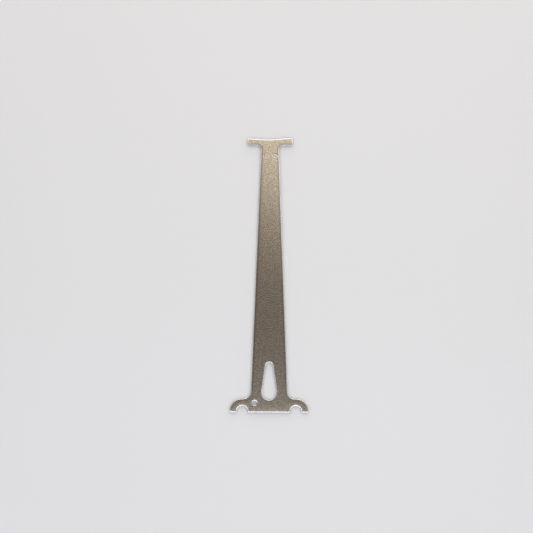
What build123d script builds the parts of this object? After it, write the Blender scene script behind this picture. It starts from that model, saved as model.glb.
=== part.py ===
from build123d import *
import math
import os

# A drop-in gauge for the wear of a half-inch bicycle chain, in millimetres.
# One flat blank: hooks along the bottom edge, a tapered blade, and a cross bar whose two ends are
# the measuring tips. It lies on its back face, with the blade along Y and the bar towards +Y.

# The chain, and the stretch at which each tip drops in
chain_pitch = 12.7
pitches_spanned = 13
roller_diameter = 7.75
left_tip_stretch = 0.005
right_tip_stretch = 0.0075

# Blank: sheet thickness, the rolled front edge left by punching, and the broken back edge
plate_thickness = 2.0
front_edge_round = 0.4
back_edge_chamfer = 0.2

# Blade, tapering from the bottom edge up to the underside of the bar
blade_width_at_base = 22.1
blade_width_at_bar = 10.5

# Cross bar, with a shallow valley between its tips
bar_width = 27.15
bar_depth = 4.6
bar_corner_radius = 1.2
valley_depth = 0.72
valley_radius = 28.0
neck_radius = 2.75

# Hooks: outer curve and notch share a centre near the bottom edge
hook_spacing = 30.84
hook_centre_height = 0.42
hook_radius = 7.4
finger_corner_radius = 1.3
shoulder_radius = 4.15
notch_radius = 3.33
mouth_radius = 0.6

# Tear-drop slot in the middle of the blade's foot
slot_bottom = 7.1
slot_top = 28.7
slot_bottom_radius = 4.3
slot_top_radius = 2.2

# Small round hole beside the slot
hole_diameter = 2.8
hole_offset = 8.3
hole_height = 5.35


def seated_roller_height():
    """Height of a roller's centre above the bottom edge when it rests in a hook's mouth."""
    roller_radius = roller_diameter / 2
    highest = hook_centre_height + notch_radius - roller_radius
    lip_rise = mouth_radius - hook_centre_height
    lip_spread_squared = (notch_radius + mouth_radius) ** 2 - lip_rise ** 2
    drop_squared = (roller_radius + mouth_radius) ** 2 - lip_spread_squared
    if drop_squared <= 0:
        return highest
    return min(highest, mouth_radius - math.sqrt(drop_squared))


def tip_height(stretch):
    """Height at which a tip just clears the far roller of a chain stretched by this much."""
    span = pitches_spanned * chain_pitch * (1 + stretch)
    return seated_roller_height() + span - roller_diameter / 2


left_tip_height = tip_height(left_tip_stretch)
right_tip_height = tip_height(right_tip_stretch)
overall_length = max(left_tip_height, right_tip_height)
bar_underside = overall_length - bar_depth
valley_height = min(left_tip_height, right_tip_height) - valley_depth


def blade():
    foot = blade_width_at_base / 2
    neck = blade_width_at_bar / 2
    return Polygon((-foot, 0), (foot, 0), (neck, bar_underside), (-neck, bar_underside), align=None)


def bar_end_height(tip):
    """Height of the bar's square corner, which leaves the tip at its height once it is rounded."""
    half = bar_width / 2
    return valley_height + (tip - valley_height) * half / (half - bar_corner_radius)


def cross_bar():
    half = bar_width / 2
    return Polygon(
        (-half, bar_underside),
        (half, bar_underside),
        (half, bar_end_height(right_tip_height)),
        (0, valley_height),
        (-half, bar_end_height(left_tip_height)),
        align=None,
    )


def hook_discs(radius):
    spots = Locations((-hook_spacing / 2, hook_centre_height), (hook_spacing / 2, hook_centre_height))
    return Sketch() + [spot * Circle(radius) for spot in spots.locations]


def round_bottom_edge(sketch):
    """Rounds the four lips of the notches, then the outer corner of each finger."""
    corners = sketch.vertices().group_by(Axis.Y)[0].sort_by(Axis.X)
    sketch = fillet(corners[1:-1], mouth_radius)
    corners = sketch.vertices().group_by(Axis.Y)[0].sort_by(Axis.X)
    return fillet([corners[0], corners[-1]], finger_corner_radius)


def round_corners(sketch):
    """Rounds the shoulders, the neck, the valley and the bar's ends."""
    half = bar_width / 2
    neck = blade_width_at_bar / 2
    shoulders = sketch.vertices().filter_by_position(Axis.Y, hook_centre_height, 2 * hook_radius)
    shoulders = shoulders.filter_by(lambda corner: abs(corner.X) < hook_spacing / 2)
    sketch = fillet(shoulders.sort_by(Axis.Y)[-2:], shoulder_radius)
    rounds = [
        ((-neck, bar_underside), neck_radius),
        ((neck, bar_underside), neck_radius),
        ((0, valley_height), valley_radius),
        ((-half, bar_underside), bar_corner_radius),
        ((half, bar_underside), bar_corner_radius),
        ((-half, bar_end_height(left_tip_height)), bar_corner_radius),
        ((half, bar_end_height(right_tip_height)), bar_corner_radius),
    ]
    for (x, y), radius in rounds:
        sketch = fillet(sketch.vertices().sort_by_distance((x, y))[0], radius)
    return sketch


def tear_drop():
    bottom = Pos(0, slot_bottom + slot_bottom_radius) * Circle(slot_bottom_radius)
    top = Pos(0, slot_top - slot_top_radius) * Circle(slot_top_radius)
    return make_hull([bottom.edge(), top.edge()])


def outline():
    below = Pos(0, -hook_radius) * Rectangle(bar_width + 2 * hook_spacing, 2 * hook_radius)
    sketch = blade() + cross_bar() + hook_discs(hook_radius) - below
    sketch = round_corners(sketch)
    sketch = round_bottom_edge(sketch - hook_discs(notch_radius))
    hole = Pos(-hole_offset, hole_height) * Circle(hole_diameter / 2)
    return sketch - tear_drop() - hole


def gauge_plate():
    plate = extrude(Pos(0, -overall_length / 2) * outline(), plate_thickness)
    plate = fillet(plate.faces().sort_by(Axis.Z)[-1].edges(), front_edge_round)
    return chamfer(plate.faces().sort_by(Axis.Z)[0].edges(), back_edge_chamfer)


os.makedirs("parts", exist_ok=True)
plate = gauge_plate()
plate.label = "gauge_plate"
export_step(plate, "parts/gauge_plate.step")
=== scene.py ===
import math

import bpy
import numpy as np
from mathutils import Matrix, Vector, noise
from mathutils.geometry import delaunay_2d_cdt


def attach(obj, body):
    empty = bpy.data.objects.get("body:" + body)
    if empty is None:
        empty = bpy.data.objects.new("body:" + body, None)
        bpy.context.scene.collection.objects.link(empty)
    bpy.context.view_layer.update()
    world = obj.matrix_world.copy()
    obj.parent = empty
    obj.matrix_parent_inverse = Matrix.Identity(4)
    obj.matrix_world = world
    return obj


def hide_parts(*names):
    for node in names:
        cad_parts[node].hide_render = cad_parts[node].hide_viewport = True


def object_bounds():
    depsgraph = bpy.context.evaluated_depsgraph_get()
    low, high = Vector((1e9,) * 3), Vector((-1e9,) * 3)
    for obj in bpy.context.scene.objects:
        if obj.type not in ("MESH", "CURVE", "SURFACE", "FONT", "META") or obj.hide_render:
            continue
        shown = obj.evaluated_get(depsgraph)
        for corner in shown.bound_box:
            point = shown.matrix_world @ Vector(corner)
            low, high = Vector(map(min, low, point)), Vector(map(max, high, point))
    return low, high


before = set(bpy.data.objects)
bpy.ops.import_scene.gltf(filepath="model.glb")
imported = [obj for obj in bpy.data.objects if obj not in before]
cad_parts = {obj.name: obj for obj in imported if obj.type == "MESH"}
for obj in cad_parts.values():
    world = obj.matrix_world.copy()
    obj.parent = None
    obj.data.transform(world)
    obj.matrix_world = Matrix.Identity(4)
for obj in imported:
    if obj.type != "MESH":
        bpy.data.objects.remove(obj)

cad_box = [list(corner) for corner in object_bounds()]

# Lengths are in millimetres until the mesh is made, and heights along the blade are measured from
# the bottom edge, as in the part's source. This is one millimetre in metres.
millimetre = 0.001

# Outline, with the source's values. The source works out the heights of the tips from the chain.
plate_thickness = 2.0
blade_width_at_base = 22.1
blade_width_at_bar = 10.5
bar_width = 27.15
bar_depth = 4.6
bar_corner_radius = 1.2
valley_depth = 0.72
valley_radius = 28.0
neck_radius = 2.75
hook_spacing = 30.84
hook_centre_height = 0.42
hook_radius = 7.4
finger_corner_radius = 1.3
shoulder_radius = 4.15
notch_radius = 3.33
mouth_radius = 0.6
slot_bottom = 7.1
slot_top = 28.7
slot_bottom_radius = 4.3
slot_top_radius = 2.2
hole_radius = 1.4
hole_offset = 8.3
hole_height = 5.35
left_tip_height = 160.503
right_tip_height = 160.916
bar_underside = max(left_tip_height, right_tip_height) - bar_depth
valley_height = min(left_tip_height, right_tip_height) - valley_depth

# The rolled front rim, and the insets of its rows of points. It is at its full size along the top
# of the bar, which is dressed after punching, and elsewhere at the share of it that plain_rim says.
roll_width = 0.8
roll_depth = 0.36
roll_fullness = 2.2
plain_rim = 0.55
dressed_from = 156.4
dressed_above = 158.4
roll_insets = (0.0, 0.004, 0.015, 0.035, 0.065, 0.105, 0.155, 0.21, 0.27, 0.335, 0.41, 0.5)

# Rows of the wall below the rim: inset, height above the back face, and how ragged the row is
sheared_band = ((0.0, 1.35, 0.0), (0.0, 1.12, 0.0))
torn_band = (
    (0.012, 1.0, 0.008),
    (0.035, 0.84, 0.03),
    (0.05, 0.68, 0.04),
    (0.055, 0.52, 0.04),
    (0.06, 0.36, 0.03),
)
back_corner = ((0.07, 0.2, 0.0), (0.1, 0.1, 0.0), (0.16, 0.035, 0.0), (0.25, 0.0, 0.0))
wall_rows = sheared_band + torn_band + back_corner

# Coarse and fine streaks of the torn band: how fine along x, y and z, where they start, and their share
tear_layers = (
    ((0.9, 0.9, 0.3), (0, 0, 0), 0.6),
    ((2.6, 2.6, 1.4), (7, 0, 0), 0.55),
)

# The slight fall of the front face towards its outer edge, which fades out below the bar
brow_width = 3.6
brow_depth = 0.06
brow_fades_from = 150.0
brow_ends_at = 157.0

# Painted shade: a darker line painted into the colour just inside the blade's rolled sides, standing for a
# darker reflection there
tarnish_width = 1.4
tarnish_starts = 9.0
tarnish_is_full = 14.0

# Stamped percentages of wear, which read from the hooks towards the bar. The gap between figures and
# the bowl of the 5 are shares of their height, and a baseline is the x where figures stand.
number_height = 2.9
number_top = 150.85
stroke_width = 0.78
stroke_depth = 0.08
figure_gap = 0.26
bowl_radius = 0.31
bowl_angles = range(128, -143, -18)
half_percent = {"text": ".5", "baseline": -0.8}
three_quarters = {"text": ".75", "baseline": 4.36}

# Spacing of the mesh's points
arc_step = 0.28
widest_turn = math.radians(7)
line_step = 0.34
face_spacing = 0.9
back_spacing = 1.5
number_spacing = 0.075
same_spot = 1e-6
merge_distance = 1e-7

# Rows of points over the front face that follow the rim, by their inset. After the first few they
# have every second point, and none has points closer together than this, which grows with the inset.
rim_rows = (0.65, 0.82, 1.0, 1.25, 1.6, 2.1, 2.8, 3.6)
full_rows = 3
closest_in_row = 0.1
row_tolerance = 0.995

# How far a lattice keeps from the edge, in its own spacings, and how far the fine one under a
# number and the gap left for it reach past its strokes, in stroke widths
lattice_clearance = 0.4
patch_reach = 0.6
patch_clearance = 0.75

# How many points are compared with the outline at once
batch_size = 1000

quarter_turn = math.pi / 2
half_turn = math.pi


def direction(angle):
    return np.array([math.cos(angle), math.sin(angle)])


# The outline


def arc(centre, radius, start, end):
    """Points with their outward normals along a round corner. A clockwise turn makes a hollow."""
    turn = end - start
    steps = math.ceil(max(abs(turn) * radius / arc_step, abs(turn) / widest_turn))
    side = 1 if turn > 0 else -1
    ways = [direction(start + turn * i / steps) for i in range(steps + 1)]
    return [np.concatenate([np.array(centre) + radius * way, side * way]) for way in ways]


def join(arcs):
    """A closed loop from arcs in order, with straight runs between those that don't meet."""
    loop = []
    for i, corner in enumerate(arcs):
        loop += corner
        start, end = corner[-1], arcs[(i + 1) % len(arcs)][0]
        length = np.linalg.norm(end[:2] - start[:2])
        steps = math.ceil(length / line_step)
        loop += [start + (end - start) * k / steps for k in range(1, steps)]
        if length < same_spot:
            loop.pop()
    return np.array(loop)


def hook_arcs(hook, to_shoulder):
    """A hook, from its inner lip through the notch and round the finger to the shoulder."""
    lip_rise = mouth_radius - hook_centre_height
    lip_distance = notch_radius + mouth_radius
    lip_spread = math.sqrt(lip_distance**2 - lip_rise**2)
    lip_angle = math.asin(lip_rise / lip_distance)
    inner_lip = (hook[0] - lip_spread, mouth_radius)
    outer_lip = (hook[0] + lip_spread, mouth_radius)

    finger_rise = finger_corner_radius - hook_centre_height
    finger_distance = hook_radius - finger_corner_radius
    finger_angle = math.asin(finger_rise / finger_distance)
    finger = hook + finger_distance * direction(finger_angle)
    return [
        arc(inner_lip, mouth_radius, -quarter_turn, -lip_angle),
        arc(hook, notch_radius, half_turn - lip_angle, lip_angle),
        arc(outer_lip, mouth_radius, half_turn + lip_angle, half_turn + quarter_turn),
        arc(finger, finger_corner_radius, -quarter_turn, finger_angle),
        arc(hook, hook_radius, finger_angle, to_shoulder),
    ]


def side_arcs():
    """The right side, from the hook's inner lip to the neck under the bar."""
    hook = np.array([hook_spacing / 2, hook_centre_height])
    foot = np.array([blade_width_at_base / 2, 0.0])
    lean = math.atan2((blade_width_at_base - blade_width_at_bar) / 2, bar_underside)
    out, up = direction(lean), direction(lean + quarter_turn)

    # The shoulder touches the hook's outer curve and the blade's edge
    offset = foot + out * shoulder_radius - hook
    reach = hook_radius + shoulder_radius
    along = -offset @ up + math.sqrt((offset @ up) ** 2 - offset @ offset + reach**2)
    shoulder = foot + out * shoulder_radius + up * along
    to_shoulder = math.atan2(*(shoulder - hook)[::-1])

    # The neck touches the blade's edge and the bar's underside
    neck_height = bar_underside - neck_radius
    neck_foot = (neck_height - out[1] * neck_radius - foot[1]) / up[1]
    neck = foot + out * neck_radius + up * neck_foot
    return hook_arcs(hook, to_shoulder) + [
        arc(shoulder, shoulder_radius, to_shoulder + half_turn, half_turn + lean),
        arc(neck, neck_radius, half_turn + lean, quarter_turn),
    ]


def bar_slope(tip_height):
    """Angle at which the top of the bar rises from the valley to this tip."""
    return math.atan((tip_height - valley_height) / (bar_width / 2 - bar_corner_radius))


def bar_end_arcs(tip_height):
    """The lower and the upper corner of the bar's right end, with the tip at this height."""
    x = bar_width / 2 - bar_corner_radius
    slope = bar_slope(tip_height)
    lower = (x, bar_underside + bar_corner_radius)
    upper = (x, tip_height - bar_corner_radius / math.cos(slope))
    return [
        arc(lower, bar_corner_radius, -quarter_turn, 0.0),
        arc(upper, bar_corner_radius, 0.0, quarter_turn + slope),
    ]


def valley_arc():
    """The hollow between the tips, which touches both slopes of the bar's top."""
    right_slope, left_slope = bar_slope(right_tip_height), bar_slope(left_tip_height)
    to_right, to_left = direction(right_slope), direction(half_turn - left_slope)
    middle = (to_right + to_left) / np.linalg.norm(to_right + to_left)
    bottom = np.array([0.0, valley_height])
    centre = bottom + middle * valley_radius / math.sin(math.acos(middle @ to_right))
    return arc(centre, valley_radius, right_slope - quarter_turn, -left_slope - quarter_turn)


def mirrored(arcs):
    flip = np.array([-1, 1, -1, 1])
    return [[point * flip for point in reversed(corner)] for corner in reversed(arcs)]


def outer_loop():
    right = side_arcs() + bar_end_arcs(right_tip_height)
    left = side_arcs() + bar_end_arcs(left_tip_height)
    return join(right + [valley_arc()] + mirrored(left))


def slot_loop():
    low = (0.0, slot_bottom + slot_bottom_radius)
    high = (0.0, slot_top - slot_top_radius)
    lean = math.asin((slot_bottom_radius - slot_top_radius) / (high[1] - low[1]))
    bottom = arc(low, slot_bottom_radius, lean, -half_turn - lean)
    top = arc(high, slot_top_radius, half_turn - lean, lean)
    return join([bottom, top])


def hole_loop():
    return join([arc((-hole_offset, hole_height), hole_radius, 0.0, -2 * half_turn)])


# The punched edge


def rim_size(y):
    """Size of the rolled rim at this height along the gauge, where 1 is its full size."""
    return np.interp(y, (dressed_from, dressed_above), (plain_rim, 1.0))


def rim_share(inset, size=1.0):
    """1 at the outer edge of the rolled rim, and 0 where it meets the front face."""
    return np.clip(1 - inset / (roll_width * size), 0, 1)


def roll_drop(inset, size):
    """How far the rolled rim lies below the front face at this distance from the edge."""
    return roll_depth * size * (1 - np.sqrt(1 - rim_share(inset, size) ** roll_fullness))


def brow_drop(inset, y):
    """The slight fall of the front face towards its outer edge, from tumbling. The bar has none."""
    depth = np.interp(y, (brow_fades_from, brow_ends_at), (brow_depth, 0.0))
    return depth * np.clip(1 - inset / brow_width, 0, 1) ** 2


def tarnish_share(inset, y):
    """Share of the painted shade just inside the blade's rolled sides, where 1 is full."""
    heights = (tarnish_starts, tarnish_is_full, dressed_from, dressed_above)
    along = np.interp(y, heights, (0.0, 1.0, 1.0, 0.0))
    return along * np.clip(1 - (inset - roll_width * plain_rim) / tarnish_width, 0, 1)


def torn(spot, raggedness):
    """How much further in the torn band lies at this spot, in streaks across the edge."""
    total = 0.0
    for fineness, start, share in tear_layers:
        place = Vector([at * fine + first for at, fine, first in zip(spot, fineness, start)])
        total += share * noise.noise(place)
    return raggedness * total


def rim_row(loop, inset, outer):
    """One row of the rolled rim. Where the rim is smaller, so is the row's inset."""
    y = loop[:, 1]
    size = rim_size(y)
    back = inset * size
    drop = roll_drop(back, size) + (brow_drop(back, y) if outer else 0)
    return np.column_stack([loop[:, :2] - loop[:, 2:] * back[:, None], plate_thickness - drop])


def wall_row(loop, inset, height, raggedness):
    """One row of the wall below the rim."""
    back = [max(inset + torn((x, y, height), raggedness), 0.0) for x, y in loop[:, :2]]
    spots = loop[:, :2] - loop[:, 2:] * np.array(back)[:, None]
    return np.column_stack([spots, np.full(len(loop), height)])


# Distances and patterns of points


def batches(points):
    return [slice(first, first + batch_size) for first in range(0, len(points), batch_size)]


def distance_to(points, starts, spans):
    """Distance from each point to the nearest of these straight runs."""
    nearest = np.empty(len(points))
    for some in batches(points):
        x = points[some, 0, None] - starts[:, 0]
        y = points[some, 1, None] - starts[:, 1]
        share = np.clip((x * spans[:, 0] + y * spans[:, 1]) / (spans**2).sum(1), 0, 1)
        gap = (x - share * spans[:, 0]) ** 2 + (y - share * spans[:, 1]) ** 2
        nearest[some] = np.sqrt(gap.min(1))
    return nearest


def loop_distance(points, loops):
    """Distance from each point to the outline."""
    starts = np.concatenate([loop[:, :2] for loop in loops])
    ends = np.concatenate([np.roll(loop[:, :2], -1, axis=0) for loop in loops])
    return distance_to(points, starts, ends - starts)


def inside(points, loops):
    """Which points lie in the metal, by counting crossings of the outline."""
    crossings = np.zeros(len(points), int)
    for loop in loops:
        start = loop[:, :2]
        end = np.roll(start, -1, axis=0)
        rise = np.where(end[:, 1] == start[:, 1], 1, end[:, 1] - start[:, 1])
        run = (end[:, 0] - start[:, 0]) / rise
        for some in batches(points):
            x, y = points[some, 0, None], points[some, 1, None]
            spans = (start[:, 1] > y) != (end[:, 1] > y)
            crossings[some] += (spans & (x < start[:, 0] + (y - start[:, 1]) * run)).sum(1)
    return crossings % 2 == 1


def lattice(low, high, spacing):
    """Points in a triangular pattern over a box."""
    row_step = spacing * math.sqrt(3) / 2
    points = []
    for i, y in enumerate(np.arange(low[1], high[1], row_step)):
        xs = np.arange(low[0] + (i % 2) * spacing / 2, high[0], spacing)
        points.append(np.column_stack([xs, np.full(len(xs), y)]))
    return np.concatenate(points)


def inner_lattice(loops, spacing, reach):
    """Points in a triangular pattern over the metal, further than this reach from its edges."""
    corners = loops[0][:, :2]
    points = lattice(corners.min(0), corners.max(0), spacing)
    points = points[inside(points, loops)]
    return points[loop_distance(points, loops) > reach + lattice_clearance * spacing]


def thinned(points, spacing):
    """Leaves out points that come closer than this to the one before them."""
    kept = []
    for spot in points:
        if not kept or np.linalg.norm(spot - kept[-1]) > spacing:
            kept.append(spot)
    return np.array(kept).reshape(-1, 2)


def rim_points(loops):
    """Rows of points that follow the rim, which thin out as they leave it."""
    rows = []
    for row, inset in enumerate(rim_rows):
        step = 1 if row < full_rows else 2
        for loop in loops:
            corners = loop[row % 2 :: step]
            spots = corners[:, :2] - corners[:, 2:] * inset
            clear = loop_distance(spots, loops) > inset * row_tolerance
            rows.append(thinned(spots[clear], closest_in_row * (1 + inset)))
    return rows


# The stamped numbers


def five():
    """The stroke of a 5, which ends in its bowl."""
    ways = [direction(math.radians(angle)) for angle in bowl_angles]
    return [(0.6, 1.0), (0.1, 1.0), (0.06, 0.5)] + [tuple(bowl_radius * (1 + way)) for way in ways]


# Each figure is one stroke in a cell one unit high, with its width
figures = {
    "5": (five(), 0.62),
    "7": ([(0.0, 1.0), (0.6, 1.0), (0.2, 0.0)], 0.6),
    ".": ([(0.0, 0.02), (0.03, 0.02)], 0.03),
}


def number_strokes(number):
    """Straight runs ((x0, y0), (x1, y1)) of a number whose last figure ends at number_top."""
    runs = []
    end = number_top
    for sign in reversed(number["text"]):
        stroke, width = figures[sign]
        start = end - width * number_height
        spots = [(number["baseline"] - v * number_height, start + u * number_height) for u, v in stroke]
        runs += list(zip(spots[:-1], spots[1:]))
        end = start - figure_gap * number_height
    return np.array(runs)


def groove_share(points, runs):
    """Depth of the rounded grooves that a number's strokes leave, where 1 is the deepest."""
    gap = distance_to(points, runs[:, 0], runs[:, 1] - runs[:, 0])
    share = np.clip(1 - gap / (stroke_width / 2), 0, 1)
    return share**2 * (3 - 2 * share)


def number_box(runs, reach):
    """The box that holds a number, and reaches this many stroke widths past it."""
    corners = runs.reshape(-1, 2)
    margin = reach * stroke_width
    return corners.min(0) - margin, corners.max(0) + margin


def outside(points, box):
    return ((points <= box[0]) | (points >= box[1])).any(1)


# The faces


def front_points(loops, numbers):
    """Points of the front face: close together by the rim and the numbers, and wider elsewhere."""
    points = np.concatenate([inner_lattice(loops, face_spacing, rim_rows[-1])] + rim_points(loops))
    for runs in numbers:
        points = points[outside(points, number_box(runs, patch_clearance))]
        patch = lattice(*number_box(runs, patch_reach), number_spacing)
        points = np.concatenate([points, patch])
    return points


def triangulate(loops, points):
    """Triangles over the metal between the loops, as numbers of loop points and then of points."""
    spots = np.concatenate([loop[:, :2] for loop in loops] + [points])
    edges = []
    first = 0
    for loop in loops:
        edges += [(first + i, first + (i + 1) % len(loop)) for i in range(len(loop))]
        first += len(loop)
    out = delaunay_2d_cdt([Vector(spot) for spot in spots], edges, [], 0, merge_distance)
    if len(out[0]) != len(spots):
        raise RuntimeError("the face's points changed in triangulation")
    triangles = np.array(out[2])
    return triangles[inside(spots[triangles].mean(1), loops)]


class GaugeMesh:
    """The gauge as it grows: its points with their finish and painted shade, and its faces."""

    def __init__(self):
        self.spots = []
        self.faces = []
        # The third share is painted shade: a darker line in the colour just inside the blade's sides.
        self.finish_and_shade = {"rim": [], "stamped": [], "tarnish": []}

    def add_spots(self, spots, **finish_and_shade):
        """Adds points with these shares of each finish and of the painted shade, and returns their
        numbers.
        """
        first = len(self.spots)
        self.spots += spots.tolist()
        for name, shares in self.finish_and_shade.items():
            shares += np.broadcast_to(finish_and_shade.get(name, 0.0), len(spots)).tolist()
        return range(first, first + len(spots))

    def add_edge(self, loop, outer):
        """The punched edge round a loop. Returns its first and last rings, on the two faces."""
        rows = [(inset, rim_row(loop, inset, outer)) for inset in reversed(roll_insets)]
        rows += [(row[0], wall_row(loop, *row)) for row in wall_rows]
        # Painted shade: the rows of the outer rim get the darker painted line that lies inside the blade's
        # sides.
        tarnish = tarnish_share(0.0, loop[:, 1]) if outer else 0.0
        rings = [self.add_spots(spots, rim=rim_share(inset), tarnish=tarnish) for inset, spots in rows]
        for upper, lower in zip(rings[:-1], rings[1:]):
            for i in range(len(loop)):
                self.faces.append((upper[i - 1], lower[i - 1], lower[i], upper[i]))
        return rings[0], rings[-1]

    def add_face(self, rings, points, heights, turned, **finish_and_shade):
        """Fills the inside of the rings with triangles through these points."""
        used = [i for ring in rings for i in ring]
        used += self.add_spots(np.column_stack([points, heights]), **finish_and_shade)
        edges = [np.array([self.spots[i] for i in ring]) for ring in rings]
        for triangle in triangulate(edges, points):
            corners = [used[i] for i in triangle]
            self.faces.append(corners[::-1] if turned else corners)

    def add_front(self, rings, loops):
        """The front face, with its fall towards the outer edge and the stamped numbers."""
        numbers = [number_strokes(half_percent), number_strokes(three_quarters)]
        points = front_points(loops, numbers)
        y = points[:, 1]
        size = rim_size(y)
        inset = loop_distance(points, loops)
        outer_inset = loop_distance(points, loops[:1])
        groove = sum(groove_share(points, runs) for runs in numbers)
        heights = plate_thickness - roll_drop(inset, size) - stroke_depth * groove
        heights -= brow_drop(outer_inset, y)
        finish_and_shade = {
            "rim": rim_share(inset, size),
            "stamped": groove,
            # Painted shade: the darker line in the colour just inside the blade's sides.
            "tarnish": tarnish_share(outer_inset, y),
        }
        self.add_face(rings, points, heights, False, **finish_and_shade)

    def add_back(self, rings, loops):
        points = inner_lattice(loops, back_spacing, wall_rows[-1][0])
        self.add_face(rings, points, np.zeros(len(points)), True)


# The whole gauge


def build_gauge():
    """The whole gauge, in millimetres from its bottom edge."""
    loops = [outer_loop(), slot_loop(), hole_loop()]
    gauge_mesh = GaugeMesh()
    front, back = zip(*[gauge_mesh.add_edge(loop, loop is loops[0]) for loop in loops])
    gauge_mesh.add_front(front, loops)
    gauge_mesh.add_back(back, loops)
    return gauge_mesh


def make_gauge():
    built = build_gauge()
    placed = np.array(built.spots) * millimetre + (0.0, cad_box[0][1], cad_box[0][2])
    mesh = bpy.data.meshes.new("gauge_blank")
    mesh.from_pydata(placed.tolist(), [], built.faces)
    mesh.validate()
    for name, shares in built.finish_and_shade.items():
        attribute = mesh.attributes.new(name, "FLOAT", "POINT")
        attribute.data.foreach_set("value", shares)
    mesh.polygons.foreach_set("use_smooth", [True] * len(mesh.polygons))
    mesh.update()
    gauge = bpy.data.objects.new("gauge_blank", mesh)
    gauge.data.materials.append(nickel_material())
    bpy.context.scene.collection.objects.link(gauge)
    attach(gauge, "root")
    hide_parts("gauge_plate")


# The materials


class Nodes:
    """Short calls for making and joining a material's nodes."""

    def __init__(self, tree):
        self.tree = tree
        self.tree.nodes.clear()

    def add(self, kind, settings=None, **inputs):
        node = self.tree.nodes.new(kind)
        for name, value in (settings or {}).items():
            setattr(node, name, value)
        for name, value in inputs.items():
            self.put(node, name.replace("_", " "), value)
        return node

    def put(self, node, name, value):
        """Joins a node's socket to another one, or sets its value."""
        socket = node.inputs[int(name)] if name.isdigit() else node.inputs[name]
        if isinstance(value, bpy.types.NodeSocket):
            self.tree.links.new(value, socket)
        else:
            socket.default_value = value

    def spread(self, value, low, high, to_low=0.0, to_high=1.0):
        """Maps low..high of a value onto to_low..to_high, and holds it there."""
        node = self.add("ShaderNodeMapRange")
        sockets = ("Value", "From Min", "From Max", "To Min", "To Max")
        for name, given in zip(sockets, (value, low, high, to_low, to_high)):
            self.put(node, name, given)
        return node.outputs["Result"]

    def fade(self, height, start, end):
        """0 at the first of these heights in millimetres, and 1 at the second."""
        return self.spread(height, start * millimetre, end * millimetre)

    def math(self, operation, first, second):
        node = self.add("ShaderNodeMath", {"operation": operation})
        self.put(node, "0", first)
        self.put(node, "1", second)
        return node.outputs[0]

    def blend(self, share, first, second):
        """Goes from the first colour to the second as the share goes from 0 to 1."""
        node = self.add("ShaderNodeMix", {"data_type": "RGBA"})
        self.put(node, "0", share)
        self.put(node, "6", first)
        self.put(node, "7", second)
        return node.outputs[2]

    def finish_and_shade(self, name):
        """The share of the named finish that the mesh gives at each point; the painted shade along the
        blade's sides is one of them.
        """
        return self.add("ShaderNodeAttribute", {"attribute_name": name}).outputs["Fac"]

    def seen(self):
        """1 for what the camera sees, also in metal or through glass, and 0 for light on its way."""
        path = self.add("ShaderNodeLightPath").outputs
        mirrored_or_through = self.math("MAXIMUM", path["Is Glossy Ray"], path["Is Transmission Ray"])
        return self.math("MAXIMUM", path["Is Camera Ray"], mirrored_or_through)

    def noise(self, place, fineness, detail=2.0, roughness=0.5, stretch=(1, 1, 1)):
        """Soft noise with about this many features to a millimetre."""
        scaled = self.add("ShaderNodeMapping", Vector=place)
        scaled.inputs["Scale"].default_value = [fineness * share / millimetre for share in stretch]
        node = self.add("ShaderNodeTexNoise", Scale=1.0, Detail=detail, Roughness=roughness)
        self.put(node, "Vector", scaled.outputs["Vector"])
        return node.outputs["Fac"]


# Colours of the metal
nickel_warm = (0.63, 0.51, 0.382, 1)
nickel_cool = (0.587, 0.51, 0.384, 1)
nickel_dull = (0.33, 0.28, 0.215, 1)
# A darker colour for painted shade, in the line inside the blade's sides and on the slopes of the stamped
# grooves.
nickel_tarnished = (0.26, 0.217, 0.17, 1)
nickel_rim = (0.84, 0.85, 0.85, 1)
# A pale colour painted into the floors of the stamped grooves as a painted highlight.
groove_painted_highlight = (0.81, 0.74, 0.63, 1)
torn_steel = (0.36, 0.33, 0.3, 1)

# Its patterns: how many features to a millimetre, and the part of its range that noise mostly keeps to
hue_fineness = 0.045
blotch_fineness = 0.5
grain_fineness = 1.5
pit_fineness = 4.0
streak_fineness = 3.0
streak_stretch = (1, 1, 0.12)
noise_range = (0.3, 0.7)

# How the patterns colour it: what each is spread over, and how strong it is
hue_range = (0.4, 0.6)
mottle_range = (0.36, 0.64)
blotch_strength = 0.06
wear_range = (0.05, 0.45)
wear_raggedness = 0.05

# Depths of a stamped groove between which its slope starts and ends and its floor starts. The slopes get
# painted shade and the floors a painted highlight, as strong as the strengths below.
slope_starts = (0.0, 0.15)
slope_ends = (0.6, 0.25)
slope_painted_shade_strength = 0.7
floor_starts = (0.35, 0.75)
floor_painted_highlight_strength = 0.85

# Heights on the wall over which the band below the rim and the torn band fade in, and the torn one out
wall_fades_in = (1.75, 1.5)
tear_fades_in = (1.14, 0.98)
tear_fades_out = (0.1, 0.28)

# Its gloss and its relief
face_roughness = (0.296, 0.244)
worn_roughness = -0.03
torn_roughness = 0.2
relief_depth = 0.005
pit_strength = 0.6
streak_strength = 0.1
torn_streak_strength = 0.8


def rim_wear(nodes, grain):
    """How far the plating is worn: fully at the rim, with a ragged edge inside it."""
    ragged = nodes.spread(grain, *noise_range, -wear_raggedness, wear_raggedness)
    return nodes.spread(nodes.math("ADD", nodes.finish_and_shade("rim"), ragged), *wear_range)


def grooved(nodes, colour):
    """Painted shade on the slopes of the stamped grooves and a painted highlight on their floors."""
    groove = nodes.finish_and_shade("stamped")
    slopes = nodes.math("MULTIPLY", nodes.spread(groove, *slope_starts), nodes.spread(groove, *slope_ends))
    # Painted shade on the slopes of the grooves.
    colour = nodes.blend(nodes.math("MULTIPLY", slopes, slope_painted_shade_strength), colour, nickel_tarnished)
    # Painted highlight on the floors of the grooves.
    return nodes.blend(nodes.spread(groove, *floor_starts, 0.0, floor_painted_highlight_strength), colour, groove_painted_highlight)


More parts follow.
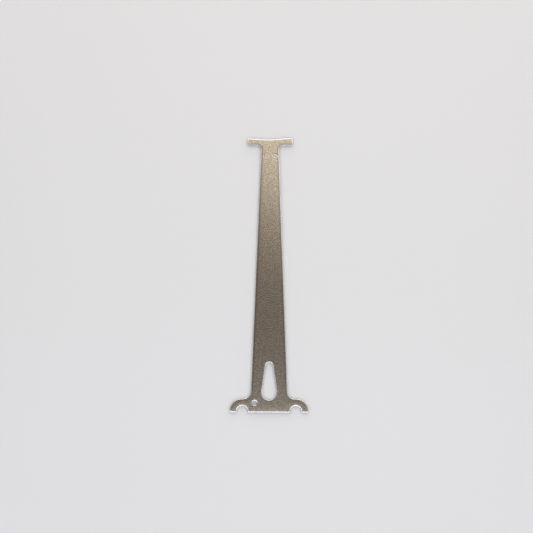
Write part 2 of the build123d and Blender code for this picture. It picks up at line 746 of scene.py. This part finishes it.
def nickel_colour(nodes, place, grain, wear):
    """Warm grey that drifts in hue, with a mottled grain, a painted shade line inside the blade's sides,
    worn rims, and numbers with painted shade and a painted highlight.
    """
    drift = nodes.noise(place, hue_fineness, roughness=0.35)
    blotches = nodes.noise(place, blotch_fineness, detail=1.0)
    blotches = nodes.spread(blotches, *noise_range, -blotch_strength, blotch_strength)
    mottle = nodes.spread(nodes.math("ADD", grain, blotches), *mottle_range, 1.0, 0.0)
    colour = nodes.blend(nodes.spread(drift, *hue_range), nickel_warm, nickel_cool)
    colour = nodes.blend(mottle, colour, nickel_dull)
    # Painted shade: the colour darkens in a line just inside the blade's rolled sides, standing for a
    # darker reflection there.
    colour = nodes.blend(nodes.finish_and_shade("tarnish"), colour, nickel_tarnished)
    return grooved(nodes, nodes.blend(wear, colour, nickel_rim))


def nickel_roughness(nodes, grain, wear, tear):
    roughness = nodes.spread(grain, *noise_range, *face_roughness)
    roughness = nodes.math("ADD", roughness, nodes.math("MULTIPLY", wear, worn_roughness))
    return nodes.math("ADD", roughness, nodes.math("MULTIPLY", tear, torn_roughness))


def nickel_relief(nodes, place, height, grain, tear):
    """Fine pits all over, and streaks down the wall, which are strongest where it is torn."""
    pits = nodes.noise(place, pit_fineness, roughness=0.6)
    streaks = nodes.noise(place, streak_fineness, detail=3.0, roughness=0.65, stretch=streak_stretch)
    strength = nodes.math("ADD", nodes.math("MULTIPLY", tear, torn_streak_strength), streak_strength)
    streaks = nodes.math("MULTIPLY", streaks, strength)
    streaks = nodes.math("MULTIPLY", streaks, nodes.fade(height, *wall_fades_in))
    relief = nodes.math("ADD", grain, nodes.math("MULTIPLY", pits, pit_strength))
    relief = nodes.math("ADD", relief, streaks)
    bump = nodes.add("ShaderNodeBump", Strength=1.0, Distance=relief_depth * millimetre, Height=relief)
    return bump.outputs["Normal"]


def nickel_material():
    """Tumbled nickel plating, and bare steel where the wall is torn."""
    material = bpy.data.materials.new("tumbled_nickel")
    material.use_nodes = True
    nodes = Nodes(material.node_tree)
    place = nodes.add("ShaderNodeTexCoord").outputs["Object"]
    height = nodes.add("ShaderNodeSeparateXYZ", Vector=place).outputs["Z"]
    grain = nodes.noise(place, grain_fineness, roughness=0.6)
    wear = rim_wear(nodes, grain)
    tear = nodes.math("MULTIPLY", nodes.fade(height, *tear_fades_in), nodes.fade(height, *tear_fades_out))
    colour = nodes.blend(tear, nickel_colour(nodes, place, grain, wear), torn_steel)

    shader = nodes.add("ShaderNodeBsdfPrincipled", Metallic=1.0)
    nodes.put(shader, "Base Color", colour)
    nodes.put(shader, "Roughness", nickel_roughness(nodes, grain, wear, tear))
    nodes.put(shader, "Normal", nickel_relief(nodes, place, height, grain, tear))
    nodes.add("ShaderNodeOutputMaterial", Surface=shader.outputs["BSDF"])
    return material


# The floor's size and the distances from the gauge over which its lit part ends are in metres
floor_half_width = 6.0
lit_floor_ends = (0.18, 0.6)
floor_gap = 0.02
floor_colour = (0.84, 0.82, 0.79, 1)
floor_roughness = 0.9
floor_shine = 0.2
far_white = (0.78, 0.78, 0.78, 1)


def floor_material():
    """A lit floor near the gauge, which turns into an even pale ground in the distance."""
    material = bpy.data.materials.new("pale_floor")
    material.use_nodes = True
    nodes = Nodes(material.node_tree)
    shader = nodes.add("ShaderNodeBsdfPrincipled", Base_Color=floor_colour, Roughness=floor_roughness)
    shader.inputs["Specular IOR Level"].default_value = floor_shine
    far = nodes.add("ShaderNodeEmission", Color=far_white)
    distance = nodes.add("ShaderNodeVectorMath", {"operation": "LENGTH"})
    nodes.put(distance, "0", nodes.add("ShaderNodeTexCoord").outputs["Object"])
    share = nodes.spread(distance.outputs["Value"], *lit_floor_ends)
    mixed = nodes.add("ShaderNodeMixShader")
    nodes.put(mixed, "0", nodes.math("MULTIPLY", share, nodes.seen()))
    nodes.put(mixed, "1", shader.outputs["BSDF"])
    nodes.put(mixed, "2", far.outputs["Emission"])
    nodes.add("ShaderNodeOutputMaterial", Surface=mixed.outputs["Shader"])
    return material


# The floor, the studio and the camera


def make_floor():
    reach, z = floor_half_width, cad_box[0][2] - floor_gap * millimetre
    corners = [(-reach, -reach, z), (reach, -reach, z), (reach, reach, z), (-reach, reach, z)]
    mesh = bpy.data.meshes.new("floor")
    mesh.from_pydata(corners, [], [(0, 1, 2, 3)])
    floor = bpy.data.objects.new("floor", mesh)
    floor.data.materials.append(floor_material())
    bpy.context.scene.collection.objects.link(floor)


# The sky changes between these heights, where 0 is level and 1 is straight up
horizon = (0.62, 0.63, 0.64, 1)
zenith = (0.1, 0.083, 0.085, 1)
sky_change = (0.25, 0.86)


def make_world():
    """A studio that is pale all round and dark straight above. The camera sees it evenly pale."""
    world = bpy.data.worlds.new("studio")
    bpy.context.scene.world = world
    world.use_nodes = True
    nodes = Nodes(world.node_tree)
    way = nodes.add("ShaderNodeTexCoord").outputs["Generated"]
    height = nodes.add("ShaderNodeSeparateXYZ", Vector=way).outputs["Z"]
    colour = nodes.blend(nodes.spread(height, *sky_change), horizon, zenith)
    colour = nodes.blend(nodes.add("ShaderNodeLightPath").outputs["Is Camera Ray"], colour, far_white)
    sky = nodes.add("ShaderNodeBackground", Color=colour)
    nodes.add("ShaderNodeOutputWorld", Surface=sky.outputs["Background"])


neutral = (1.0, 1.0, 1.0)
daylight = (0.94, 1.0, 1.14)

# Panels of light, in metres: the centre, the size, how far it is turned and leant, its radiance,
# where 1 is the white of the render, and its colour. Four lie overhead round an opening for the
# camera, and one stands beyond the bar. Daylight comes from the foot's side, a little cooler.
panels = {
    "panel_head": ((0.0, 0.45, 0.66), (1.05, 0.54), -0.3, 0.0, 1.45, neutral),
    "panel_foot": ((0.0, -0.373, 0.66), (1.0, 0.4), 0.0, 0.0, 2.15, daylight),
    "panel_left": ((-0.37, 0.0, 0.66), (0.26, 0.36), 0.0, 0.0, 0.7, neutral),
    "panel_right": ((0.37, 0.0, 0.66), (0.26, 0.36), 0.0, 0.0, 0.9, neutral),
    "panel_far": ((0.0, 1.05, 0.44), (1.3, 0.5), 0.0, -1.05, 1.1, neutral),
}


def make_lights():
    for name, (spot, size, turn, lean, radiance, colour) in panels.items():
        data = bpy.data.lights.new(name, "AREA")
        data.shape = "RECTANGLE"
        data.size, data.size_y = size
        data.energy = radiance * math.pi * size[0] * size[1]
        data.color = colour
        light = bpy.data.objects.new(name, data)
        light.location = spot
        light.rotation_euler = (lean, 0, turn)
        bpy.context.scene.collection.objects.link(light)


# Camera: the spot on the front face that it looks at, how far away it is, and how it is turned.
# Its focal length is in the picture's pixels, and the distances at which its view is cut in metres.
camera_target = (-1.81, 3.85, plate_thickness)
camera_distance = 614.4
camera_tilt = math.radians(6.261)
camera_turn = math.radians(0.2574)
focal_length = 1054.4
picture_width = 533
sensor_width = 36
view_from, view_to = 0.01, 20


def make_camera():
    data = bpy.data.cameras.new("camera")
    data.sensor_width = sensor_width
    data.lens = sensor_width * focal_length / picture_width
    data.clip_start, data.clip_end = view_from, view_to
    lean = math.sin(camera_tilt)
    back = Vector((lean * math.sin(camera_turn), -lean * math.cos(camera_turn), math.cos(camera_tilt)))
    right = Vector((math.cos(camera_turn), math.sin(camera_turn), 0))
    up = back.cross(right)
    camera = bpy.data.objects.new("camera", data)
    place = (Vector(camera_target) + back * camera_distance) * millimetre
    camera.matrix_world = Matrix.Translation(place) @ Matrix((right, up, back)).transposed().to_4x4()
    bpy.context.scene.collection.objects.link(camera)
    bpy.context.scene.camera = camera


bpy.context.scene.view_settings.view_transform = "Standard"
make_camera()
make_world()
make_floor()
make_lights()
make_gauge()

bpy.context.view_layer.update()
